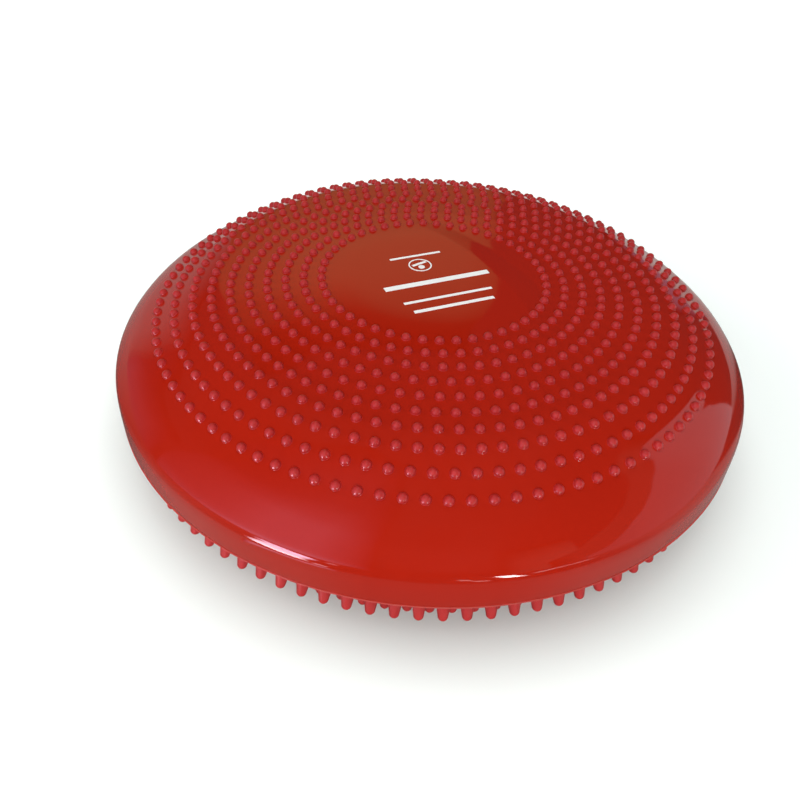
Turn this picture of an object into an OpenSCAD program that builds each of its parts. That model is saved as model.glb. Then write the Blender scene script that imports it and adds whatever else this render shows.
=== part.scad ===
// Inflatable wobble cushion: a round air-filled disc with a nubbed upper face and a spiked lower face.
// Millimetres, +Z up. The standing plane is Z = 0 and the disc's axis is the Z axis.
// The plug valve is in the rim at +Y.

/* [Overall] */
// Outside radius of the rim band
outer_radius = 165; // [150:1:180]
// Wall thickness of the moulded skin
wall = 3; // [2:0.1:4]
// Height of the flat centre of the upper face
top_height = 87.5; // [70:0.5:100]
// Radius of the flat centre of the upper face
flat_radius = 40; // [30:1:50]

/* [Nubs of the upper face] */
// Radius of the innermost ring of nubs
nub_ring_first = 58.2; // [50:0.2:70]
// Distance from one ring of nubs to the next
nub_ring_pitch = 9.2; // [8:0.1:11]
// Extra radius of the outermost ring of nubs
nub_ring_stretch = 0.9; // [0:0.1:2]
// Radius of one nub
nub_radius = 2.25; // [1.8:0.05:3]
// Depth of a nub's centre under the skin's surface
nub_sink = 0; // [0:0.05:1]

/* [Spikes of the lower face] */
// Radius of the innermost ring of spikes
spike_ring_first = 76.8; // [60:0.2:90]
// Distance from one ring of spikes to the next
spike_ring_pitch = 9.4; // [8:0.1:12]
// Radius of a spike at its root
spike_root_radius = 3; // [2:0.05:3.5]
// Radius of a spike's round tip
spike_tip_radius = 2.2; // [1.2:0.05:2.5]
// Length of a spike out of the skin
spike_length = 11.6; // [6:0.2:16]
// Length of a spike of the outermost ring
rim_spike_length = 11.2; // [6:0.2:16]

/* [Zones and gaps] */
// Clear gap between two zones that move apart
zone_gap = 0.4; // [0.3:0.05:1]
// Radius where the fold ring meets the lower panel
fold_inner = 146.5; // [145:0.5:148]
// Radius where the fold ring meets the rim band
fold_outer = 156; // [154:0.5:158]
// Radius where the upper panel meets the shoulder
panel_edge = 147; // [145:0.5:150]

/* [Valve] */
// Radius of the moulded-in valve seat
seat_radius = 5.3; // [5:0.1:5.6]
// Depth of the valve seat in from the rim
seat_depth = 14; // [10:0.5:18]
// Radius of the bore in the seat
seat_bore_radius = 2.6; // [2:0.05:4]
// Radius of the plug's stem
plug_radius = 2.55; // [2:0.01:3.9]
// Length of the plug's stem
plug_length = 8; // [5:0.5:11]
// Radius of the plug's flat head
head_radius = 3.9; // [3:0.1:4.4]
// Thickness of the plug's flat head
head_height = 1.2; // [0.8:0.1:2]

/* [Printed mark] */
// Thickness of the ink
ink = 0.15; // [0.05:0.05:0.3]
// Turn of the mark about the axis, in degrees
mark_turn = 23.4; // [0:0.1:90]

/* [Hidden] */
nub_counts = [47, 53, 59, 66, 70, 78, 84, 90, 95, 100];
nub_phase = [4.1, 1.5, -1.9, 2.0, -1.3, 2.5, 0.7, -1.2, 0.7, -1.2];
spike_counts = [52, 58, 64, 70, 76, 82, 88, 94, 100, 100];
spike_phase_outer = -130.65;
spike_ring_last = 160.4;
spike_ring_ninth = 152;

// Height of the upper skin's outer surface against radius
upper = [
  [0, top_height],
  [flat_radius, top_height],
  [58.2, top_height - 0.7],
  [76.6, top_height - 1.8],
  [95, top_height - 3.3],
  [113.5, top_height - 4.8],
  [122.9, top_height - 6.6],
  [132.4, top_height - 10.6],
  [141.9, top_height - 15.7],
  [150.5, top_height - 20.3],
  [157.8, top_height - 26],
  [162.2, top_height - 31.1]
];
// Height of the lower skin's outer surface against radius
lower = [
  [0, 11.3],
  [60, 11.35],
  [76.8, 11.48],
  [86.2, 11.8],
  [95.6, 12.2],
  [105, 12.8],
  [114.4, 13.7],
  [123.8, 15.1],
  [133.2, 17.3],
  [142.6, 20.5],
  [152, 25],
  [160.4, 30.5]
];
// The shoulder turns down into the band along a rounded ridge
ridge_radius = 162.2;
ridge = [[163.5, 54.5], [164.3, 52.9], [164.85, 51.1]];
flash_z = 35.3;
band_top_z = 48;
band_radius = outer_radius;
band_foot = 164.2;
flash_out = 0.35;
flash_half = 0.4;
valve_z = 41;
core_height = 2;
grip = 0.5;
steps = 26;

// Index of the station that starts the span holding r
function span(t, r, i = 0) = (i >= len(t) - 2 || r <= t[i + 1][0]) ? i : span(t, r, i + 1);
// Slope of the curve at station i
function grade(t, i) =
  i == 0 ? 0 :
  i == len(t) - 1 ? (t[i][1] - t[i - 1][1]) / (t[i][0] - t[i - 1][0]) :
  (t[i + 1][1] - t[i - 1][1]) / (t[i + 1][0] - t[i - 1][0]);
// Flat spans stay flat
function side_grade(t, i) = (i == 1) ? 0 : grade(t, i);
// Smooth height through the stations at radius r
function height_at(t, r) =
  let (i = span(t, r))
  let (h = t[i + 1][0] - t[i][0])
  let (u = (r - t[i][0]) / h)
  let (a = side_grade(t, i) * h)
  let (b = side_grade(t, i + 1) * h)
  (2 * u * u * u - 3 * u * u + 1) * t[i][1] + (u * u * u - 2 * u * u + u) * a
  + (3 * u * u - 2 * u * u * u) * t[i + 1][1] + (u * u * u - u * u) * b;
function slope_at(t, r) = (height_at(t, r + 0.5) - height_at(t, r - 0.5));
function thick_at(t, r) = wall * sqrt(1 + slope_at(t, r) * slope_at(t, r));
function stops(a, b, n) = [for (i = [0 : n]) a + (b - a) * i / n];
function turned(v) = [for (i = [len(v) - 1 : -1 : 0]) v[i]];

function nub_ring_radius(k) =
  nub_ring_first + nub_ring_pitch * (k - 1) + nub_ring_stretch * pow((k - 1) / 9, 4);
function spike_ring_radius(k) =
  k == 10 ? spike_ring_last : k == 9 ? spike_ring_ninth : spike_ring_first + spike_ring_pitch * (k - 1);
function spike_phase(k) =
  k == 10 ? spike_phase_outer : k == 9 ? spike_phase_outer + 1.8 : (k % 2) * 180 / spike_counts[k - 1];

// A revolved strip of the upper skin between two radii
module upper_strip(a, b) {
  r = stops(a, b, steps);
  outer = [for (x = r) [x, height_at(upper, x)]];
  inner = [for (x = r) [x, height_at(upper, x) - thick_at(upper, x)]];
  rotate_extrude($fn = 360)
    polygon(concat(outer, turned(inner)));
}

// A revolved strip of the lower skin between two radii
module lower_strip(a, b, n) {
  r = stops(a, b, n);
  outer = [for (x = r) [x, height_at(lower, x)]];
  inner = [for (x = r) [x, height_at(lower, x) + thick_at(lower, x)]];
  rotate_extrude($fn = 360)
    polygon(concat(outer, turned(inner)));
}

// One rounded nub whose centre lies just under the skin
module nub(r) {
  tilt = atan(slope_at(upper, r));
  translate([r + nub_sink * sin(tilt), 0, height_at(upper, r) - nub_sink * cos(tilt)])
    sphere(r = nub_radius, $fn = 32);
}

// One ring of nubs
module nub_ring(k) {
  n = nub_counts[k - 1];
  for (i = [0 : n - 1])
    rotate([0, 0, nub_phase[k - 1] + 360 * i / n])
      nub(nub_ring_radius(k));
}

// One tapered spike with a round tip, its root just inside the skin
module spike(r, long) {
  root = height_at(lower, r) + grip + spike_root_radius * abs(slope_at(lower, r));
  tip = height_at(lower, r) - long;
  translate([r, 0, tip + spike_tip_radius])
    union() {
      cylinder(r1 = spike_tip_radius, r2 = spike_root_radius, h = root - tip - spike_tip_radius, $fn = 32);
      sphere(r = spike_tip_radius, $fn = 32);
    }
}

// One ring of spikes
module spike_ring(k) {
  n = spike_counts[k - 1];
  for (i = [0 : n - 1])
    rotate([0, 0, spike_phase(k) + 360 * i / n])
      spike(spike_ring_radius(k), k == 10 ? rim_spike_length : spike_length);
}

// Lower centre of the skin: a shallow dome that rests on the floor
module lower_panel() {
  color([0.72, 0.08, 0.06])
    lower_strip(0, fold_inner - zone_gap / 2, 32);
}

// The innermost ring of spikes stands on the floor, its tips pressed flat
module spikes_1() {
  color([0.75, 0.12, 0.1])
    intersection() {
      spike_ring(1);
      translate([-outer_radius, -outer_radius, 0])
        cube([2 * outer_radius, 2 * outer_radius, top_height]);
    }
}

module spikes_2() {
  color([0.75, 0.12, 0.1])
    spike_ring(2);
}

module spikes_3() {
  color([0.75, 0.12, 0.1])
    spike_ring(3);
}

module spikes_4() {
  color([0.75, 0.12, 0.1])
    spike_ring(4);
}

module spikes_5() {
  color([0.75, 0.12, 0.1])
    spike_ring(5);
}

module spikes_6() {
  color([0.75, 0.12, 0.1])
    spike_ring(6);
}

module spikes_7() {
  color([0.75, 0.12, 0.1])
    spike_ring(7);
}

module spikes_8() {
  color([0.75, 0.12, 0.1])
    spike_ring(8);
}

// The ring of skin that folds first when the cushion rocks
module lower_fold() {
  color([0.72, 0.08, 0.06])
    lower_strip(fold_inner + zone_gap / 2, fold_outer - zone_gap / 2, 4);
}

module spikes_9() {
  color([0.75, 0.12, 0.1])
    spike_ring(9);
}

// The upright band of the rim with the lower edge that turns in under it
module rim_band() {
  foot = fold_outer + zone_gap / 2;
  foot_z = height_at(lower, foot);
  foot_t = thick_at(lower, foot);
  color([0.72, 0.08, 0.06])
    difference() {
      rotate_extrude($fn = 360)
        polygon([
          [foot, foot_z],
          [158.3, height_at(lower, 158.3)],
          [spike_ring_last, height_at(lower, spike_ring_last)],
          [band_foot - 1.8, 32.4],
          [band_foot, flash_z - 0.9],
          [band_radius, flash_z],
          [band_radius + 0.2, 40],
          [band_radius + 0.2, 44],
          [band_radius, band_top_z],
          [band_radius - wall, band_top_z],
          [band_radius + 0.2 - wall, 44],
          [band_radius + 0.2 - wall, 40],
          [band_radius - wall, flash_z + 1.6],
          [band_foot - wall, flash_z + 0.1],
          [158.3, 32.6],
          [foot, foot_z + foot_t]
        ]);
      seat_hole();
    }
}

// Space that the valve seat takes out of the rim band
module seat_hole() {
  translate([0, band_radius + 2, valve_z])
    rotate([90, 0, 0])
      cylinder(r = seat_radius, h = seat_depth, $fn = 64);
}

module spikes_10() {
  color([0.75, 0.12, 0.1])
    spike_ring(10);
}

// Fine parting line left by the mould round the lower edge of the band
module flash_line() {
  color([0.8, 0.2, 0.17])
    rotate_extrude($fn = 360)
      polygon([
        [band_radius - 0.6, flash_z + flash_half],
        [band_radius - 0.6, flash_z - flash_half],
        [band_radius + flash_out, flash_z - flash_half / 2],
        [band_radius + flash_out, flash_z + flash_half / 2]
      ]);
}

// Smooth shoulder from the rim's ridge up to the nubbed panel
module shoulder() {
  start = panel_edge + zone_gap / 2;
  outer = [for (x = stops(start, ridge_radius, 8)) [x, height_at(upper, x)]];
  inner = [for (x = stops(ridge_radius - 2, start, 8)) [x, height_at(upper, x) - thick_at(upper, x)]];
  foot = [[band_radius, band_top_z], [band_radius - wall, band_top_z]];
  color([0.72, 0.08, 0.06])
    rotate_extrude($fn = 360)
      polygon(concat(outer, ridge, foot, inner));
}

// Upper face of the skin with its smooth flat centre
module upper_panel() {
  color([0.72, 0.08, 0.06])
    upper_strip(0, panel_edge - zone_gap / 2);
}

module nubs_1() {
  color([0.8, 0.2, 0.18])
    nub_ring(1);
}

module nubs_2() {
  color([0.8, 0.2, 0.18])
    nub_ring(2);
}

module nubs_3() {
  color([0.8, 0.2, 0.18])
    nub_ring(3);
}

module nubs_4() {
  color([0.8, 0.2, 0.18])
    nub_ring(4);
}

module nubs_5() {
  color([0.8, 0.2, 0.18])
    nub_ring(5);
}

module nubs_6() {
  color([0.8, 0.2, 0.18])
    nub_ring(6);
}

module nubs_7() {
  color([0.8, 0.2, 0.18])
    nub_ring(7);
}

module nubs_8() {
  color([0.8, 0.2, 0.18])
    nub_ring(8);
}

module nubs_9() {
  color([0.8, 0.2, 0.18])
    nub_ring(9);
}

module nubs_10() {
  color([0.8, 0.2, 0.18])
    nub_ring(10);
}

// A plain bar of ink, centred at x and y
module bar(x, y, length, width) {
  translate([x - length / 2, y - width / 2, 0])
    cube([length, width, ink]);
}

// Generic printed mark without letters: a tilting disc in a frame and four plain bars
module print_mark() {
  color([0.93, 0.93, 0.92])
    translate([0, 0, top_height])
      rotate([0, 0, mark_turn]) {
        bar(-2.3, 20.4, 29, 1.6);
        difference() {
          translate([-3.5, 10.6, 0])
            cylinder(r = 6.2, h = ink, $fn = 96);
          translate([-3.5, 10.6, -1])
            cylinder(r = 5.5, h = ink + 2, $fn = 96);
        }
        translate([-3.5, 12, 0])
          rotate([0, 0, 14])
            bar(0, 0, 8.6, 1.6);
        translate([-3.5, 8.6, 0])
          cylinder(r = 1.7, h = ink, $fn = 64);
        bar(-1, -6.5, 58, 3.6);
        bar(-1.5, -21.4, 48, 1.8);
        bar(-2, -29.7, 43, 2.2);
      }
}

// Boss moulded into the rim that holds the valve
module valve_seat() {
  color([0.6, 0.07, 0.06])
    translate([0, band_radius, valve_z])
      rotate([90, 0, 0])
        difference() {
          cylinder(r = seat_radius, h = seat_depth - 2, $fn = 64);
          translate([0, 0, -1])
            cylinder(r = seat_bore_radius, h = seat_depth + 2, $fn = 48);
          translate([0, 0, -1])
            cylinder(r = head_radius + 0.2, h = 1 + head_height, $fn = 48);
        }
}

// Self-sealing rubber core behind the seat
module valve_core() {
  color([0.12, 0.12, 0.13])
    translate([0, band_radius - seat_depth + 2, valve_z])
      rotate([90, 0, 0])
        cylinder(r = seat_radius - 1, h = core_height, $fn = 48);
}

// Pull-out plug: a stem in the bore and a flat head flush with the band
module valve_plug() {
  color([0.75, 0.12, 0.1])
    translate([0, band_radius, valve_z])
      rotate([90, 0, 0])
        union() {
          cylinder(r = head_radius, h = head_height, $fn = 48);
          cylinder(r = plug_radius, h = plug_length, $fn = 48);
        }
}

lower_panel();
spikes_1();
spikes_2();
spikes_3();
spikes_4();
spikes_5();
spikes_6();
spikes_7();
spikes_8();
lower_fold();
spikes_9();
rim_band();
spikes_10();
flash_line();
shoulder();
upper_panel();
nubs_1();
nubs_2();
nubs_3();
nubs_4();
nubs_5();
nubs_6();
nubs_7();
nubs_8();
nubs_9();
nubs_10();
print_mark();
valve_seat();
valve_core();
valve_plug();
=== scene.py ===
import bpy
import bmesh
import math
import numpy as np
from mathutils import Matrix, Vector


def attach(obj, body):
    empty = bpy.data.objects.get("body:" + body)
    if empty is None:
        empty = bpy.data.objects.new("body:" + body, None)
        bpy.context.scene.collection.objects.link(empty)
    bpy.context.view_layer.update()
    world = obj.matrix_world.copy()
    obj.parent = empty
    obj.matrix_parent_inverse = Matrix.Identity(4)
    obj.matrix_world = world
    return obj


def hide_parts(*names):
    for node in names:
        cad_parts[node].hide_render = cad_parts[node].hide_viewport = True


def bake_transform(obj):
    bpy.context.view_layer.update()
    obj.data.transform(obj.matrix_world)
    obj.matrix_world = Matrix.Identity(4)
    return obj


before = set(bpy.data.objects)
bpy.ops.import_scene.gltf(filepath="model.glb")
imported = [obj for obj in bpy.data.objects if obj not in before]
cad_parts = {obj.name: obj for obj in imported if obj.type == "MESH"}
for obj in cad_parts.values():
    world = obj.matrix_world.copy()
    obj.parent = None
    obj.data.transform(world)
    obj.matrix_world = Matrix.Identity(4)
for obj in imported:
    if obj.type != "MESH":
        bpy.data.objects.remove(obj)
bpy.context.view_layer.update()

MM = 0.001
RIM = 165.0  # radius of the cushion at its parting line, in millimetres
VALVE_Z = 41.0  # height of the valve's axis in millimetres; the valve faces +Y
scene = bpy.context.scene

# ---------------------------------------------------------------- camera
# A wide lens held close above the cushion, a little to its left, turned slightly clockwise.
LENS = 32.55
ELEVATION = 40.60
ROLL = 2.71
CAMERA_PLACE = (-0.01467, -0.32821, 0.28164)
camera_data = bpy.data.cameras.new("camera")
camera_data.sensor_width = 36.0
camera_data.lens = LENS
camera_data.clip_start = 0.01
camera_data.clip_end = 50.0
camera = bpy.data.objects.new("camera", camera_data)
scene.collection.objects.link(camera)
elevation = math.radians(ELEVATION)
roll = math.radians(ROLL)
forward = Vector((0, math.cos(elevation), -math.sin(elevation)))
level_right = Vector((1, 0, 0))
level_down = forward.cross(level_right)
right = level_right * math.cos(roll) - level_down * math.sin(roll)
down = level_right * math.sin(roll) + level_down * math.cos(roll)
turn = Matrix((right, -down, -forward)).transposed().to_4x4()
camera.matrix_world = Matrix.Translation(CAMERA_PLACE) @ turn
scene.camera = camera

# ---------------------------------------------------------------- shape of the skin
TOP = 87.5
PARTING = 35.3
# Stations (radius, height) in millimetres along the outer surface, from the parting line up.
UPPER = [
    (RIM, PARTING), (165.25, 37.2), (165.35, 40.0), (165.3, 43.5), (165.25, 46.5), (165.1, 49.0),
    (164.85, 51.1), (164.3, 52.9), (163.5, 54.5), (162.2, 56.4), (160.2, 58.9), (157.8, 61.5), (154.5, 64.4),
    (150.5, 67.2), (146.0, 69.7), (141.9, 71.8), (137.0, 74.5), (132.4, 76.9), (127.6, 79.1), (122.9, 80.9),
    (118.0, 82.1), (113.5, 82.8), (104.3, 83.55), (95.0, 84.25), (85.8, 85.0), (76.6, 85.75), (67.4, 86.3),
    (58.2, 86.8), (52.0, 87.15), (46.0, 87.4), (40.0, TOP), (30.0, TOP), (15.0, TOP), (0.0, TOP),
]
# The same for the lower face, from the centre out to the parting line.
LOWER = [
    (0.0, 11.3), (30.0, 11.32), (60.0, 11.35), (76.8, 11.48), (86.2, 11.8), (95.6, 12.2), (105.0, 12.8),
    (114.4, 13.7), (123.8, 15.1), (133.2, 17.3), (142.6, 20.5), (152.0, 25.0), (157.0, 28.1), (160.4, 30.4),
    (163.0, 32.6), (164.4, 34.2), (RIM, PARTING),
]
CURVE_POINTS = 2400


def through(stations, count):
    """Points evenly spaced along a centripetal Catmull-Rom curve through the stations."""
    p = np.array(stations, float)
    p = np.vstack([2 * p[0] - p[1], p, 2 * p[-1] - p[-2]])
    knots = np.concatenate([[0], np.cumsum(np.hypot(*np.diff(p, axis=0).T) ** 0.5)])
    fine = []
    for i in range(1, len(p) - 2):
        t0, t1, t2, t3 = knots[i - 1 : i + 3]
        t = np.linspace(t1, t2, 24, endpoint=False)[:, None]
        a1 = (t1 - t) / (t1 - t0) * p[i - 1] + (t - t0) / (t1 - t0) * p[i]
        a2 = (t2 - t) / (t2 - t1) * p[i] + (t - t1) / (t2 - t1) * p[i + 1]
        a3 = (t3 - t) / (t3 - t2) * p[i + 1] + (t - t2) / (t3 - t2) * p[i + 2]
        b1 = (t2 - t) / (t2 - t0) * a1 + (t - t0) / (t2 - t0) * a2
        b2 = (t3 - t) / (t3 - t1) * a2 + (t - t1) / (t3 - t1) * a3
        fine.append((t2 - t) / (t2 - t1) * b1 + (t - t1) / (t2 - t1) * b2)
    fine = np.vstack(fine + [p[-2:-1]])
    run = np.concatenate([[0], np.cumsum(np.hypot(*np.diff(fine, axis=0).T))])
    s = np.linspace(0, run[-1], count)
    return np.stack([np.interp(s, run, fine[:, 0]), np.interp(s, run, fine[:, 1])], 1)


upper_curve = through(UPPER, CURVE_POINTS)
lower_curve = through(LOWER, CURVE_POINTS)


def upper_height(r):
    return np.interp(r, upper_curve[::-1, 0], upper_curve[::-1, 1])


def lower_height(r):
    return np.interp(r, lower_curve[:, 0], lower_curve[:, 1])


def smooth(t):
    """A soft step from 0 to 1."""
    t = np.clip(t, 0, 1)
    return t * t * (3 - 2 * t)


def degrees_from(a, bearing):
    """How far each angle a is turned away from a bearing, both in radians; the result is in degrees."""
    return np.abs(np.degrees(np.arctan2(np.sin(a - bearing), np.cos(a - bearing))))


# How steeply the face falls past the crease; bearings in radians and rises in millimetres.
FALL_SLOPE = 0.085
BACK_BEARING = math.pi / 2
BACK_RISE = 3.0
BULGE_BEARING = -0.65
BULGE_RISE = 0.42


def settle(x, y):
    """Height in millimetres that the blown-up face departs from a true body of revolution."""
    r = np.hypot(x, y)
    a = np.arctan2(y, x)
    # The flat centre ends at a soft crease on its right, past which the face falls away.
    across = (x - 34.0) * 0.86 + (y - 2.0) * 0.50 + 0.004 * (y - 8.0) ** 2
    fall = np.where(across > 0, across, 0.0)
    fall = FALL_SLOPE * np.minimum(fall, 14.0) * smooth((70.0 - np.abs(y - 6.0)) / 30.0)
    fade = 1 - smooth((r - 54.0) / 34.0)
    # Slow waves of a moulded skin under pressure.
    waves = (
        0.10 * np.sin(5 * a + 0.6 + r / 41.0)
        + 0.06 * np.sin(9 * a + 2.1 - r / 23.0)
        + 0.035 * np.sin(17 * a + 0.9 + r / 15.0)
    )
    keep = smooth((r - 60.0) / 40.0)
    # The side away from the printed front is blown up a little higher towards its edge.
    rise = BACK_RISE * smooth((r - 108.0) / 36.0) * smooth((161.0 - r) / 16.0)
    rise = rise * smooth((72.0 - degrees_from(a, BACK_BEARING)) / 62.0)
    # On its right the skin bulges a little between the last two rings of nubs.
    bulge = BULGE_RISE * smooth((r - 131.0) / 8.5) * smooth((144.5 - r) / 5.0)
    bulge = bulge * smooth((44.0 - degrees_from(a, BULGE_BEARING)) / 16.0)
    return -fall * fade + waves * keep + rise + bulge


# ---------------------------------------------------------------- mesh helpers
def mesh_object(name, verts, faces):
    """A smooth-shaded object from points in millimetres."""
    mesh = bpy.data.meshes.new(name)
    mesh.from_pydata((np.asarray(verts) * MM).tolist(), [], faces)
    mesh.validate()
    mesh.polygons.foreach_set("use_smooth", [True] * len(mesh.polygons))
    mesh.update()
    thing = bpy.data.objects.new(name, mesh)
    scene.collection.objects.link(thing)
    return thing


def grid_faces(rows, columns, flip=False):
    """Quads of a grid of points whose last column joins its first."""
    faces = []
    for i in range(rows - 1):
        for j in range(columns):
            k = (j + 1) % columns
            quad = (i * columns + j, i * columns + k, (i + 1) * columns + k, (i + 1) * columns + j)
            faces.append(quad[::-1] if flip else quad)
    return faces


def revolve(name, profile, segments, shape=None, flip=False, close_end=False):
    """A skin turned from a profile of (radius, height); shape moves its points by a height.

    close_end adds a point on the axis at the profile's last height.
    """
    angle = np.arange(segments) * 2 * math.pi / segments
    r, z = profile[:, 0][:, None], profile[:, 1][:, None]
    x, y = r * np.cos(angle), r * np.sin(angle)
    zz = z + 0 * angle
    if shape is not None:
        zz = zz + shape(x, y)
    verts = np.stack([x, y, zz], -1).reshape(-1, 3)
    faces = grid_faces(len(profile), segments, flip)
    if close_end:
        centre = len(verts)
        moved = shape(np.zeros(1), np.zeros(1))[0] if shape is not None else 0
        verts = np.vstack([verts, [[0, 0, profile[-1, 1] + moved]]])
        base = (len(profile) - 1) * segments
        for j in range(segments):
            tri = (base + j, base + (j + 1) % segments, centre)
            faces.append(tri[::-1] if flip else tri)
    return mesh_object(name, verts, faces)


def template(profile, segments):
    """A turned stud, from its foot up to its tip: local points and faces."""
    angle = np.arange(segments) * 2 * math.pi / segments
    p = np.array(profile, float)
    x = p[:-1, 0][:, None] * np.cos(angle)
    y = p[:-1, 0][:, None] * np.sin(angle)
    z = p[:-1, 1][:, None] + 0 * angle
    verts = np.stack([x, y, z], -1).reshape(-1, 3)
    verts = np.vstack([verts, [[0, 0, p[-1, 1]]]])
    faces = grid_faces(len(p) - 1, segments)
    base, tip = (len(p) - 2) * segments, len(verts) - 1
    faces += [(base + j, base + (j + 1) % segments, tip) for j in range(segments)]
    return verts, faces


def scatter(name, stud, places):
    """One mesh of the stud at each (matrix 3x3, origin)."""
    verts, faces = stud
    out, polys = [], []
    for n, (m, o) in enumerate(places):
        out.append(verts @ m.T + o)
        polys += [tuple(i + n * len(verts) for i in f) for f in faces]
    return mesh_object(name, np.vstack(out), polys)


# ---------------------------------------------------------------- materials
VINYL_IOR = 1.5
SMUDGE_SCALE = 60.0
GRAIN_SCALE = 400.0


def material(name, colour, roughness, specular=0.5, coat=0.0, coat_roughness=0.05, vary=0.06, vary_scale=9.0,
             bump=0.0, rough_vary=0.03):
    """Moulded plastic whose colour varies by a share of itself and whose roughness varies finely.

    bump is the depth of its grain in metres.
    """
    m = bpy.data.materials.new(name)
    m.use_nodes = True
    nt = m.node_tree
    bsdf = nt.nodes["Principled BSDF"]
    coords = nt.nodes.new("ShaderNodeTexCoord")
    large = nt.nodes.new("ShaderNodeTexNoise")
    large.inputs["Scale"].default_value = vary_scale
    large.inputs["Detail"].default_value = 4.0
    large.inputs["Roughness"].default_value = 0.55
    nt.links.new(coords.outputs["Object"], large.inputs["Vector"])
    ramp = nt.nodes.new("ShaderNodeValToRGB")
    c = np.array(colour)
    ramp.color_ramp.elements[0].position = 0.3
    ramp.color_ramp.elements[0].color = (*np.clip(c * (1 - vary), 0, 1), 1)
    ramp.color_ramp.elements[1].position = 0.7
    ramp.color_ramp.elements[1].color = (*np.clip(c * (1 + vary), 0, 1), 1)
    nt.links.new(large.outputs["Fac"], ramp.inputs["Fac"])
    nt.links.new(ramp.outputs["Color"], bsdf.inputs["Base Color"])
    fine = nt.nodes.new("ShaderNodeTexNoise")
    fine.inputs["Scale"].default_value = SMUDGE_SCALE
    fine.inputs["Detail"].default_value = 5.0
    nt.links.new(coords.outputs["Object"], fine.inputs["Vector"])
    rough = nt.nodes.new("ShaderNodeMapRange")
    rough.inputs["From Min"].default_value = 0.3
    rough.inputs["From Max"].default_value = 0.7
    rough.inputs["To Min"].default_value = max(0.0, roughness - rough_vary)
    rough.inputs["To Max"].default_value = roughness + rough_vary
    nt.links.new(fine.outputs["Fac"], rough.inputs["Value"])
    nt.links.new(rough.outputs["Result"], bsdf.inputs["Roughness"])
    if bump:
        grain = nt.nodes.new("ShaderNodeTexNoise")
        grain.inputs["Scale"].default_value = GRAIN_SCALE
        grain.inputs["Detail"].default_value = 3.0
        nt.links.new(coords.outputs["Object"], grain.inputs["Vector"])
        b = nt.nodes.new("ShaderNodeBump")
        b.inputs["Strength"].default_value = 1.0
        b.inputs["Distance"].default_value = bump
        nt.links.new(grain.outputs["Fac"], b.inputs["Height"])
        nt.links.new(b.outputs["Normal"], bsdf.inputs["Normal"])
    bsdf.inputs["IOR"].default_value = VINYL_IOR
    bsdf.inputs["Specular IOR Level"].default_value = specular
    if coat:
        bsdf.inputs["Coat Weight"].default_value = coat
        bsdf.inputs["Coat Roughness"].default_value = coat_roughness
    return m


SKIN = material("skin_pvc", (0.322, 0.0100, 0.0026), 0.06, vary=0.03, rough_vary=0.015)
# Nubs and spikes are the skin's own PVC with a rougher finish; their lighter, pinker base colours are painted
# sheen.
NUB = material("nub_pvc", (0.365, 0.0150, 0.0145), 0.36, specular=0.42, coat=0.6, coat_roughness=0.1,
               vary_scale=40.0, rough_vary=0.05)
SPIKE = material("spike_pvc", (0.415, 0.0175, 0.0175), 0.36, specular=0.42, vary_scale=40.0, rough_vary=0.05)
FLASH = material("flash_pvc", (0.42, 0.045, 0.034), 0.40, vary=0.08, vary_scale=60.0)
INK = material("white_ink", (0.80, 0.80, 0.79), 0.35, vary=0.03, vary_scale=120.0)
SEAT = material("seat_pvc", (0.26, 0.010, 0.005), 0.30, vary=0.06, vary_scale=80.0)
PLUG = material("plug_pvc", (0.33, 0.013, 0.007), 0.28, vary=0.06, vary_scale=80.0)
CORE = material("core_rubber", (0.02, 0.02, 0.02), 0.55, vary=0.15, vary_scale=80.0, bump=0.00002)


def paint(thing, m):
    """Gives the thing one material and hands the thing back."""
    thing.data.materials.clear()
    thing.data.materials.append(m)
    return thing


# ---------------------------------------------------------------- skins
UPPER_SEGMENTS = 480
LOWER_SEGMENTS = 360
CENTRE_GAP = 1.0  # profiles stop at this radius, and one point on the axis closes them


def closer_at_rim(curve, count, reach=34.0, denser=3.2):
    """Picks profile points from a dense curve, closer together over the first stretch from the rim."""
    run = np.concatenate([[0], np.cumsum(np.hypot(*np.diff(curve, axis=0).T))])
    bend = np.ones(len(run))
    bend[run < reach] = denser
    weight = np.concatenate([[0], np.cumsum(np.diff(run) * bend[1:])])
    pick = np.interp(np.linspace(0, weight[-1], count), weight, np.arange(len(run)))
    return curve[np.unique(np.round(pick).astype(int))]


upper_profile = closer_at_rim(upper_curve, 190)
upper_profile = upper_profile[upper_profile[:, 0] > CENTRE_GAP]


def upper_shape(x, y):
    """The settled height, faded out down the rim band."""
    return settle(x, y) * smooth((upper_height(np.hypot(x, y)) - 46.0) / 12.0)


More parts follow.
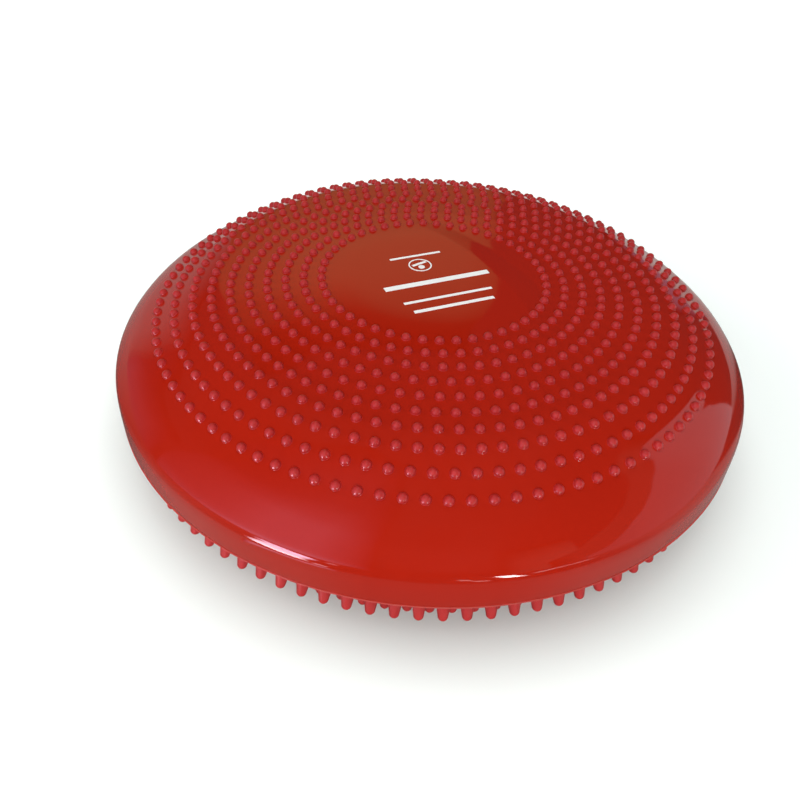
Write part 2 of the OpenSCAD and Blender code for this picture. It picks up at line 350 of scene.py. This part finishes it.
def open_round(thing, profile, segments):
    """Opens a round hole with a rolled edge in the skin where the valve's seat comes through it."""
    hole = 4.85  # radius of the hole
    margin = 5.6  # half the height of the patch of skin that is made anew round it
    reach = 3  # columns of that patch to each side of the valve
    on_band = (np.abs(profile[:, 1] - VALVE_Z) < margin) & (profile[:, 0] > RIM - 5)
    rows = np.flatnonzero(on_band).tolist()
    first_row, last_row = min(rows), max(rows)
    middle = segments // 4
    columns = range(middle - reach, middle + reach + 1)
    between = range(first_row + 1, last_row)
    work = bmesh.new()
    work.from_mesh(thing.data)
    work.verts.ensure_lookup_table()
    inside = {i * segments + j for i in between for j in columns[1:-1]}
    loop = [first_row * segments + j for j in columns]
    loop += [i * segments + columns[-1] for i in between]
    loop += [last_row * segments + j for j in reversed(columns)]
    loop += [i * segments + columns[0] for i in reversed(between)]
    last = [work.verts[n] for n in loop]
    start = [v.co.copy() for v in last]
    doomed = [work.verts[n] for n in inside]
    bmesh.ops.delete(work, geom=doomed, context="VERTS")
    # Rings from the patch's edge in to the hole: share of the way, and how far each is sunk.
    steps = [(0.25, 0.0), (0.5, 0.0), (0.75, 0.0), (0.92, -0.01), (1.0, -0.08), (1.01, -0.22), (1.0, -0.6)]
    for share, depth in steps:
        ring = []
        for p in start:
            x = p.x / MM
            z = p.z / MM - VALVE_Z
            bearing = math.atan2(z, x)
            new_x = x + (hole * math.cos(bearing) - x) * share
            new_z = z + (hole * math.sin(bearing) - z) * share
            radius = float(np.interp(new_z + VALVE_Z, upper_curve[:, 1], upper_curve[:, 0]))
            y = math.sqrt(radius * radius - new_x * new_x) + depth
            ring.append(work.verts.new((new_x * MM, y * MM, (new_z + VALVE_Z) * MM)))
        for n in range(len(ring)):
            k = (n + 1) % len(ring)
            work.faces.new((last[n], last[k], ring[k], ring[n]))
        last = ring
    bmesh.ops.recalc_face_normals(work, faces=work.faces)
    for face in work.faces:
        face.smooth = True
    work.to_mesh(thing.data)
    work.free()


skin_upper = revolve("skin_upper", upper_profile, UPPER_SEGMENTS, shape=upper_shape, close_end=True)
paint(skin_upper, SKIN)
open_round(skin_upper, upper_profile, UPPER_SEGMENTS)
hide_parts("rim_band", "shoulder", "upper_panel")
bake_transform(skin_upper)

# The lower face is made as two skins split at one radius, one for each zone of its rocking: about X over one
# zone and about Y over the next.
SPLIT = 152.0
low = through(LOWER, 400)
seam_point = [[SPLIT, float(lower_height(SPLIT))]]
inner_profile = low[(low[:, 0] < SPLIT - 0.4) & (low[:, 0] > CENTRE_GAP)]
inner_profile = np.vstack([inner_profile[::2], seam_point])
outer_profile = low[low[:, 0] > SPLIT + 0.4]
outer_profile = np.vstack([seam_point, outer_profile])

skin_lower = paint(revolve("skin_lower", inner_profile[::-1], LOWER_SEGMENTS, close_end=True), SKIN)
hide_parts("lower_panel")
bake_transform(skin_lower)

skin_fold = paint(revolve("skin_fold", outer_profile[::-1], LOWER_SEGMENTS), SKIN)
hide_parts("lower_fold")
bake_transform(skin_fold)

# ---------------------------------------------------------------- parting line
FLASH_PROFILE = np.array([
    (164.8, 35.72), (165.12, 35.6), (165.36, 35.5), (165.44, 35.32), (165.36, 35.14), (165.05, 35.02),
    (164.6, 34.95),
])


def flash_waver(x, y):
    """The trimmed edge wavers a little up and down."""
    a = np.arctan2(y, x)
    return 0.06 * np.sin(31 * a) + 0.04 * np.sin(73 * a)


flash_line = revolve("parting_line", FLASH_PROFILE, UPPER_SEGMENTS, flip=True, shape=flash_waver)
paint(flash_line, FLASH)
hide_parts("flash_line")
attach(flash_line, "shell")

# ---------------------------------------------------------------- nubs
NUB_COUNTS = [47, 53, 59, 66, 70, 78, 84, 90, 95, 100]
NUB_PHASE = [4.1, 1.5, -1.9, 2.0, -1.3, 2.5, 0.7, -1.2, 0.7, -1.2]
NUB_SEED = 41
NUB_SCATTER = (0.03, 0.06)  # how much nubs differ in size, and in height beyond that


def nub_radius(k):
    """Radius of the k-th ring of nubs: even steps that widen a little at the last rings."""
    return 58.2 + 9.2 * (k - 1) + 0.9 * ((k - 1) / 9) ** 4


def nub_profile(radius=2.25, lift=0.1):
    """Outline of a nub: a tight fillet at its foot, then half a ball that stands just clear of the skin."""
    foot = [(2.66, -0.20), (2.46, -0.06), (2.31, 0.06)]
    ball = []
    for a in (84, 74, 64, 54, 44, 34, 24, 12, 0):
        t = math.radians(a)
        ball.append((radius * math.sin(t), radius * math.cos(t) + lift))
    return foot + ball


nub_stud = template(nub_profile(), 20)


def on_upper(x, y):
    """Point and normal on the settled upper face."""
    def height(px, py):
        return upper_height(np.hypot(px, py)) + settle(px, py)

    e = 0.8  # half the span in millimetres over which the slope is taken
    z = float(height(x, y))
    dx = float(height(x + e, y) - height(x - e, y)) / (2 * e)
    dy = float(height(x, y + e) - height(x, y - e)) / (2 * e)
    n = np.array([-dx, -dy, 1.0])
    return np.array([x, y, z]), n / np.linalg.norm(n)


rng = np.random.default_rng(NUB_SEED)
for k in range(1, 11):
    places = []
    count = NUB_COUNTS[k - 1]
    r = nub_radius(k)
    for i in range(count):
        a = math.radians(NUB_PHASE[k - 1] + 360 * i / count)
        p, n = on_upper(r * math.cos(a), r * math.sin(a))
        side = np.cross(n, [math.cos(a), math.sin(a), 0.0])
        side /= np.linalg.norm(side)
        m = np.stack([np.cross(side, n), side, n], 1)
        size = 1 + NUB_SCATTER[0] * (rng.random() - 0.5)
        tall = 1 + NUB_SCATTER[1] * (rng.random() - 0.5)
        places.append((m * np.array([size, size, size * tall]), p))
    ring = paint(scatter("nub_ring_%d" % k, nub_stud, places), NUB)
    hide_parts("nubs_%d" % k)
    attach(ring, "top")

# ---------------------------------------------------------------- spikes
SPIKE_COUNTS = [52, 58, 64, 70, 76, 82, 88, 94, 100, 100]
OUTER_RING = 10
OUTER_ROOT = 156.8  # the outermost spikes lean outwards from here
OUTER_LEAN = 25.0
OUTER_LENGTH = 9.3
OUTER_PHASE = -130.65
SPIKE_LENGTH = 11.6
SPIKE_ROOT = 3.0  # radii of a spike at its root and at its tip
SPIKE_TIP = 2.2
UPRIGHT_SHANK = 1.7  # how far down the axis the shank starts, below the flare
LEANING_SHANK = 2.6


def spike_radius(k):
    """Radius of the k-th ring of spikes."""
    return {OUTER_RING: OUTER_ROOT, 9: SPLIT}.get(k, 76.8 + 9.4 * (k - 1))


def spike_phase(k):
    """Bearing of a ring's first spike; inner rings take turns at half a step."""
    half_step = 180 / SPIKE_COUNTS[k - 1]
    return {OUTER_RING: OUTER_PHASE, 9: OUTER_PHASE + half_step}.get(k, (k % 2) * half_step)


def spike_stud(r0, length, root=SPIKE_ROOT, tip=SPIKE_TIP, lean=0.0):
    """One spike of the ring at r0: its foot flares into the slope of the skin, its tip is round."""
    segments = 20
    angle = np.arange(segments) * 2 * math.pi / segments
    cos_lean = math.cos(math.radians(lean))
    sin_lean = math.sin(math.radians(lean))
    rows = []

    def ring_at(radius, depth):
        """A circle square to the spike's axis, at a depth along it."""
        x, y = radius * np.cos(angle), radius * np.sin(angle)
        return np.stack([x * cos_lean + depth * sin_lean, y, x * sin_lean - depth * cos_lean], -1)

    # The flare: how much wider than the root it is, and how deep below the skin.
    for wider, depth in [(0.95, -0.25), (0.55, 0.05), (0.25, 0.4), (0.05, 0.95)]:
        x = (root + wider) * np.cos(angle) * cos_lean + depth * sin_lean
        y = (root + wider) * np.sin(angle)
        skin = lower_height(np.hypot(r0 + x, y)) - lower_height(r0)
        rows.append(np.stack([x, y, skin - depth * cos_lean], -1))
    # The shank tapers from just inside the root down to the tip's radius.
    first = LEANING_SHANK if lean else UPRIGHT_SHANK
    last = length - tip
    widest = root - 0.08
    for share in (0.0, 0.25, 0.5, 0.75, 0.95):
        rows.append(ring_at(widest + (tip - widest) * share, first + (last - first) * share))
    for a in (90, 72, 54, 36, 18):
        t = math.radians(a)
        rows.append(ring_at(tip * math.sin(t), last + tip * math.cos(t)))
    end_point = [length * sin_lean, 0, -length * cos_lean]
    verts = np.vstack([np.vstack(rows), [end_point]])
    # A tip that rests on the floor is pressed flat there.
    verts[:, 2] = np.maximum(verts[:, 2], -float(lower_height(r0)))
    faces = grid_faces(len(rows), segments, flip=True)
    base, end = (len(rows) - 1) * segments, len(verts) - 1
    faces += [(base + (j + 1) % segments, base + j, end) for j in range(segments)]
    return verts, faces


def turn_with(ring):
    """Bakes a stiff ring's transform into its points; the skin it stands on lies part of the way between two
    bodies.
    """
    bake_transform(ring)


for k in range(1, 11):
    places = []
    count = SPIKE_COUNTS[k - 1]
    r = spike_radius(k)
    for i in range(count):
        a = math.radians(spike_phase(k) + 360 * i / count)
        turned = np.array([[math.cos(a), -math.sin(a), 0], [math.sin(a), math.cos(a), 0], [0, 0, 1]])
        places.append((turned, np.array([r * math.cos(a), r * math.sin(a), float(lower_height(r))])))
    if k == OUTER_RING:
        stud = spike_stud(r, OUTER_LENGTH, lean=OUTER_LEAN)
    else:
        stud = spike_stud(r, SPIKE_LENGTH)
    ring = paint(scatter("spike_ring_%d" % k, stud, places), SPIKE)
    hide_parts("spikes_%d" % k)
    if k <= 7:
        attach(ring, "base")
    elif k == 8:
        turn_with(ring)
    elif k == 9:
        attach(ring, "fold")
    else:
        turn_with(ring)

# ---------------------------------------------------------------- valve
def turned_about_valve(name, profile, segments=64):
    """A piece turned about the valve's axis, from points of (radius, distance out from the seat's face)."""
    angle = np.arange(segments) * 2 * math.pi / segments
    p = np.array(profile, float)
    x = p[:, 0][:, None] * np.cos(angle)
    z = VALVE_Z + p[:, 0][:, None] * np.sin(angle)
    y = RIM + p[:, 1][:, None] + 0 * angle
    verts = np.stack([x, y, z], -1).reshape(-1, 3)
    return mesh_object(name, verts, grid_faces(len(p), segments))


# Seat: a rolled lip, the recess for the plug's head, and the bore.
seat = paint(turned_about_valve("seat_boss", [
    (2.6, -12.0), (5.2, -12.0), (5.25, -11.8), (5.25, -0.6), (5.05, -0.16), (4.75, 0.0), (4.45, -0.04),
    (4.25, -0.2), (4.15, -0.5), (4.12, -1.25), (4.0, -1.42), (2.95, -1.45), (2.72, -1.55), (2.62, -1.85),
    (2.6, -3.0), (2.6, -12.0),
]), SEAT)
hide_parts("valve_seat")
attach(seat, "shell")

# Plug: a dished head with a rounded rim, and a stem with two grip rings.
plug = paint(turned_about_valve("plug_stopper", [
    (0.02, -8.0), (1.7, -7.95), (2.25, -7.6), (2.46, -7.0), (2.42, -6.5), (2.42, -5.9), (2.55, -5.55),
    (2.55, -4.95), (2.42, -4.6), (2.42, -3.9), (2.55, -3.55), (2.55, -2.95), (2.44, -2.6), (2.48, -1.6),
    (2.75, -1.24), (3.7, -1.2), (3.86, -1.05), (3.9, -0.85), (3.9, -0.35), (3.8, -0.1), (3.55, 0.0),
    (3.3, -0.03), (3.0, -0.16), (2.2, -0.24), (1.0, -0.27), (0.02, -0.27),
]), PLUG)
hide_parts("valve_plug")
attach(plug, "plug")

# ---------------------------------------------------------------- plain pieces
for name, m in (("print_mark", INK), ("valve_core", CORE)):
    paint(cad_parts[name], m)

# ---------------------------------------------------------------- floor and light
def level_at(levels, at):
    """Level at an angle or a radius, from (place, level) points joined by lines."""
    places, values = zip(*levels)
    return np.interp(at, places, values)


FLOOR_REACH = 6.0
corners = [(-FLOOR_REACH, -FLOOR_REACH, 0), (FLOOR_REACH, -FLOOR_REACH, 0), (FLOOR_REACH, FLOOR_REACH, 0),
           (-FLOOR_REACH, FLOOR_REACH, 0)]
floor_mesh = bpy.data.meshes.new("floor")
floor_mesh.from_pydata(corners, [], [(0, 1, 2, 3)])
floor = bpy.data.objects.new("floor", floor_mesh)
scene.collection.objects.link(floor)
floor.visible_glossy = False
paper = bpy.data.materials.new("floor_paper")
paper.use_nodes = True
paper_tree = paper.node_tree
sheet = paper_tree.nodes["Principled BSDF"]
sheet.inputs["Base Color"].default_value = (0.83, 0.90, 0.87, 1)
sheet.inputs["Roughness"].default_value = 0.9
sheet.inputs["Specular IOR Level"].default_value = 0.1
sheet.inputs["Emission Color"].default_value = (1, 1, 1, 1)
# Painted light: the paper glows, more with distance from the cushion, so it goes white far off while the
# cushion's shadow close in stays dark: (distance in metres, strength)
PAPER_GLOW = [(0.165, 0.0), (0.19, 0.10), (0.24, 0.20), (0.35, 0.38), (0.60, 0.65), (1.00, 0.95)]
GLOW_REACH = 1.0
where = paper_tree.nodes.new("ShaderNodeTexCoord")
length = paper_tree.nodes.new("ShaderNodeVectorMath")
length.operation = "LENGTH"
fade = paper_tree.nodes.new("ShaderNodeValToRGB")
for n, (distance, strength) in enumerate(PAPER_GLOW):
    stop = fade.color_ramp.elements[n] if n < 2 else fade.color_ramp.elements.new(distance / GLOW_REACH)
    stop.position = distance / GLOW_REACH
    stop.color = (strength, strength, strength, 1)
paper_tree.links.new(where.outputs["Object"], length.inputs[0])
paper_tree.links.new(length.outputs["Value"], fade.inputs["Fac"])
paper_tree.links.new(fade.outputs["Color"], sheet.inputs["Emission Strength"])
floor_mesh.materials.append(paper)

world = bpy.data.worlds.new("world")
scene.world = world
world.use_nodes = True
background = world.node_tree.nodes["Background"]
background.inputs["Color"].default_value = (1, 1, 1, 1)
background.inputs["Strength"].default_value = 0.05


# Heights above the floor in metres: what the lamps face, what the cards stand round, and the two
# layers of lit ground.
LIT_HEIGHT = 0.05
CARD_HEIGHT = 0.06
GROUND_HEIGHT = 0.0003
PATCH_HEIGHT = 0.0006


def softbox(name, azimuth, height_angle, distance, width, height, power):
    """A wide soft lamp that lights diffuse surfaces and isn't seen in the gloss."""
    data = bpy.data.lights.new(name, "AREA")
    data.shape = "RECTANGLE"
    data.size = width
    data.size_y = height
    data.energy = power
    lamp = bpy.data.objects.new(name, data)
    a = math.radians(azimuth)
    e = math.radians(height_angle)
    away = Vector((math.cos(a) * math.cos(e), math.sin(a) * math.cos(e), math.sin(e)))
    lamp.location = away * distance + Vector((0, 0, LIT_HEIGHT))
    lamp.rotation_mode = "QUATERNION"
    lamp.rotation_quaternion = away.to_track_quat("Z", "Y")
    lamp.visible_glossy = False
    scene.collection.objects.link(lamp)


def glowing_sheet(name, points, levels, colour, closed=False):
    """A grid of points in metres that only reflections see; each point glows at its own level."""
    rows, columns = levels.shape
    wrap = columns if closed else columns - 1
    faces = []
    for i in range(rows - 1):
        for j in range(wrap):
            k = (j + 1) % columns
            faces.append((i * columns + j, i * columns + k, (i + 1) * columns + k, (i + 1) * columns + j))
    mesh = bpy.data.meshes.new(name)
    mesh.from_pydata(points.reshape(-1, 3).tolist(), [], faces)
    mesh.attributes.new("glow", "FLOAT", "POINT").data.foreach_set("value", levels.ravel().astype(np.float32))
    panel = bpy.data.objects.new(name, mesh)
    scene.collection.objects.link(panel)
    m = bpy.data.materials.new(name)
    m.use_nodes = True
    nt = m.node_tree
    nt.nodes.remove(nt.nodes["Principled BSDF"])
    glow = nt.nodes.new("ShaderNodeEmission")
    glow.inputs["Color"].default_value = (*colour, 1)
    level = nt.nodes.new("ShaderNodeAttribute")
    level.attribute_name = "glow"
    nt.links.new(level.outputs["Fac"], glow.inputs["Strength"])
    nt.links.new(glow.outputs["Emission"], nt.nodes["Material Output"].inputs["Surface"])
    mesh.materials.append(m)
    panel.visible_camera = False
    panel.visible_diffuse = False
    panel.visible_shadow = False
    panel.visible_transmission = False


def card(name, across, up, distance, strength, colour, top=None):
    """A lit card standing round the cushion: levels against azimuth and against elevation.

    top gives its upper edge as (azimuth, elevation) points where that edge isn't level.
    """
    az = np.linspace(across[0][0], across[-1][0], 49)
    share = np.linspace(0, 1, 33)[:, None]
    low = up[0][0]
    high = level_at(top, az) if top else np.full(len(az), up[-1][0])
    a = np.radians(az)
    e = np.radians(low + (high - low) * share)
    points = np.stack([distance * np.cos(a) * np.cos(e), distance * np.sin(a) * np.cos(e),
                       CARD_HEIGHT + distance * np.sin(e)], -1)
    span = up[-1][0] - low
    height = level_at(up, low + span * share + 0 * a)
    glowing_sheet(name, points, strength * height * level_at(across, az), colour)


def ground_patch(name, edges, strength, colour):
    """A bright patch on the ground between two radii that change with azimuth: (azimuth, near, far)."""
    columns = 25
    rows = 9
    az = np.linspace(edges[0][0], edges[-1][0], columns)
    near = np.interp(az, [e[0] for e in edges], [e[1] for e in edges])
    far = np.interp(az, [e[0] for e in edges], [e[2] for e in edges])
    r = near + (far - near) * np.linspace(0, 1, rows)[:, None]
    a = np.radians(az)
    points = np.stack([r * np.cos(a), r * np.sin(a), PATCH_HEIGHT + 0 * r], -1)
    # It fades out over the last sixth of its width at each end.
    ends = np.minimum(1, 6 * np.minimum(np.linspace(0, 1, columns), np.linspace(1, 0, columns)))
    glowing_sheet(name, points, strength * ends * np.ones((rows, 1)), colour)


# Wide soft lights: name, azimuth, elevation, distance, width, height, watts
SOFT = [
    ("light_top", 0, 90, 1.5, 1.6, 1.6, 16.8),
    ("light_front_low", -90, 25, 1.5, 1.2, 0.7, 14.2),
    ("light_front_high", -90, 52, 1.5, 1.2, 0.7, 5.0),
    ("light_left_low", 180, 25, 1.5, 1.2, 0.7, 7.0),
]
for row in SOFT:
    softbox(*row)

# What the gloss reflects: the window, the right-hand softbox and the rest of the room. A nearer card hides
# a farther one. Bearings and elevations are in degrees, distances in metres.
WINDOW_TINT = (0.85, 0.70, 1.0)
BOX_TINT = (0.90, 0.93, 1.0)
ROOM_TINT = (0.92, 1.0, 0.80)
PALE_TINT = (0.95, 1.0, 0.97)
LEAFY_TINT = (0.70, 0.96, 0.46)
card(
    "card_window",
    across=[(-176, 0.12), (-160, 0.32), (-150, 0.55), (-137, 1.0), (-122, 1.05), (-114, 0.6), (-103, 0.0)],
    up=[(-3, 2.2), (3, 1.9), (8, 1.2), (15, 1.0), (38, 0.95), (50, 0.5), (64, 0.18), (80, 0.0)],
    distance=1.6, strength=1.0, colour=WINDOW_TINT,
)
card(
    "card_right_grey",
    across=[(-68, 0.0), (-62, 0.7), (-52, 1.0), (-44, 1.0)],
    up=[(-3, 1.0), (18, 0.9), (30, 0.0)],
    distance=1.6, strength=0.36, colour=ROOM_TINT,
)
card(
    "card_left",
    across=[(148, 0.6), (154, 1.0), (172, 0.9), (180, 0.4)],
    up=[(-3, 1.0), (8, 0.9), (18, 0.4), (28, 0.0)],
    distance=1.6, strength=0.26, colour=WINDOW_TINT,
)
card(
    "card_left_back",
    across=[(116, 0.75), (122, 1.0), (142, 1.0), (150, 0.6)],
    up=[(-3, 1.0), (12, 1.0), (18, 0.7), (29, 0.0)],
    distance=1.6, strength=0.38, colour=PALE_TINT,
)
card(
    "card_back",
    across=[(80.5, 0.6), (84, 0.9), (92, 1.0), (104, 1.0), (116, 0.65)],
    up=[(-3, 0.4), (8, 0.45), (18, 0.6), (25, 0.95), (32, 0.95), (36, 0.5), (39, 0.15), (45, 0.0)],
    distance=1.7, strength=0.44, colour=LEAFY_TINT,
)
card(
    "card_back_right",
    across=[(46, 0.0), (49, 1.0), (60, 1.0), (66, 0.0)],
    up=[(-3, 1.0), (6, 1.0), (12, 0.0)],
    distance=1.6, strength=0.36, colour=WINDOW_TINT,
)
card(
    "card_right",
    across=[(-44, 0.55), (-36, 0.6), (-24, 0.75), (0, 0.85), (10, 1.0), (24, 1.0)],
    up=[(-3, 1.0), (40, 1.0)],
    distance=1.4, strength=0.76, colour=BOX_TINT,
    top=[(-44, 4), (-36, 9), (-28, 15), (-20, 22), (-12, 29), (-4, 35), (4, 38), (10, 35.5), (15, 31),
         (19, 26.5), (22, 22.5), (24, 19)],
)
card(
    "card_right_fringe",
    across=[(-54, 0.0), (-46, 1.0), (0, 1.0), (12, 0.0)],
    up=[(-3, 1.0), (40, 1.0)],
    distance=1.5, strength=0.17, colour=ROOM_TINT,
    top=[(-54, 12), (-44, 16), (-28, 28), (-12, 40), (0, 46), (12, 46)],
)

# The ground in the gloss, a glowing sheet that stands in for the lit floor: dim close in, which is painted
# shadow of the cushion, darker further out in front, bright beyond the right-hand back.
# Levels against bearing, for the ground near the cushion and for the ground further out.
NEAR_LEVELS = [
    (-180, 0.10), (-165, 0.14), (-151, 0.27), (-135, 0.40), (-112, 0.36), (-100, 0.22), (-76, 0.20),
    (-60, 0.34), (-30, 0.32), (-12, 0.34), (4, 0.2), (20, 0.12), (26, 0.35), (60, 0.5), (130, 0.40),
    (160, 0.2), (180, 0.10),
]
FAR_LEVELS = [
    (-180, 0.12), (-150, 0.24), (-120, 0.12), (-100, 0.05), (-60, 0.05), (-44, 0.20), (-30, 0.42), (0, 0.45),
    (4, 0.06), (18, 0.05), (24, 0.38), (33, 0.55), (58, 0.6), (68, 1.0), (112, 1.0), (124, 0.45),
    (150, 0.34), (165, 0.22), (180, 0.12),
]
# How much of each counts, against radius.
NEAR_SHARES = [(0.02, 0.05), (0.13, 0.1), (0.16, 0.45), (0.19, 1.0), (0.225, 1.0), (0.255, 0.0), (3.0, 0.0)]
FAR_SHARES = [(0.02, 0.0), (0.225, 0.0), (0.255, 1.0), (3.0, 1.0)]
ground_az = np.arange(0, 360, 2.0)
GROUND_RADII = [0.02, 0.13, 0.16, 0.175, 0.19, 0.21, 0.225, 0.24, 0.255, 0.27, 0.33, 0.5, 1.0, 3.0]
ground_r = np.array(GROUND_RADII)[:, None]
signed_az = (ground_az + 180) % 360 - 180
ground_levels = (
    level_at(NEAR_SHARES, ground_r) * level_at(NEAR_LEVELS, signed_az)
    + level_at(FAR_SHARES, ground_r) * level_at(FAR_LEVELS, signed_az)
)
ground_a = np.radians(ground_az)
ground_points = np.stack([ground_r * np.cos(ground_a), ground_r * np.sin(ground_a),
                          GROUND_HEIGHT + 0 * ground_r * ground_a], -1)
glowing_sheet("card_ground", ground_points, ground_levels, (1.0, 0.97, 0.93), closed=True)

# Daylight lying on the ground, which the ridge shows as thin bright lines: name, strength, colour and edges.
PATCHES = [
    ("patch_left_near", 26.0, (1, 0.9, 1),
     [(-127.5, 0.257, 0.268), (-120, 0.257, 0.272), (-113.2, 0.262, 0.274)]),
    ("patch_left_far", 17.0, WINDOW_TINT,
     [(-133, 0.46, 0.66), (-127, 0.46, 0.72), (-121, 0.39, 0.58), (-114, 0.34, 0.44)]),
    ("patch_left_mid", 15.0, (0.93, 0.82, 1.0),
     [(-129, 0.270, 0.455), (-121, 0.274, 0.385), (-114.5, 0.276, 0.335)]),
    ("patch_left_third", 2.6, WINDOW_TINT,
     [(-126, 0.206, 0.216), (-118, 0.218, 0.228), (-106, 0.222, 0.232)]),
    ("patch_pair", 5.0, (1, 0.85, 1), [(-112.6, 0.25, 0.272), (-109, 0.25, 0.262)]),
    ("patch_pair_far", 3.0, (1, 0.85, 1), [(-113, 0.42, 0.56), (-110, 0.42, 0.56)]),
    ("patch_right", 30.0, (1, 0.97, 1), [(-72.3, 0.35, 0.72), (-70, 0.34, 0.70), (-67.6, 0.31, 0.55)]),
    ("patch_right_thin", 3.0, (1, 0.85, 0.9), [(-65, 0.36, 0.44), (-56, 0.48, 0.66), (-47, 0.42, 0.56)]),
    ("patch_mark_a", 4.0, (1, 0.9, 0.9), [(-82.4, 0.34, 0.41), (-79.4, 0.30, 0.36)]),
    ("patch_mark_b", 4.0, (1, 0.9, 0.9), [(-80, 0.28, 0.305), (-76, 0.28, 0.30)]),
]
for name, strength, colour, edges in PATCHES:
    ground_patch(name, edges, strength, colour)

scene.view_settings.view_transform = "Standard"
scene.view_settings.look = "None"
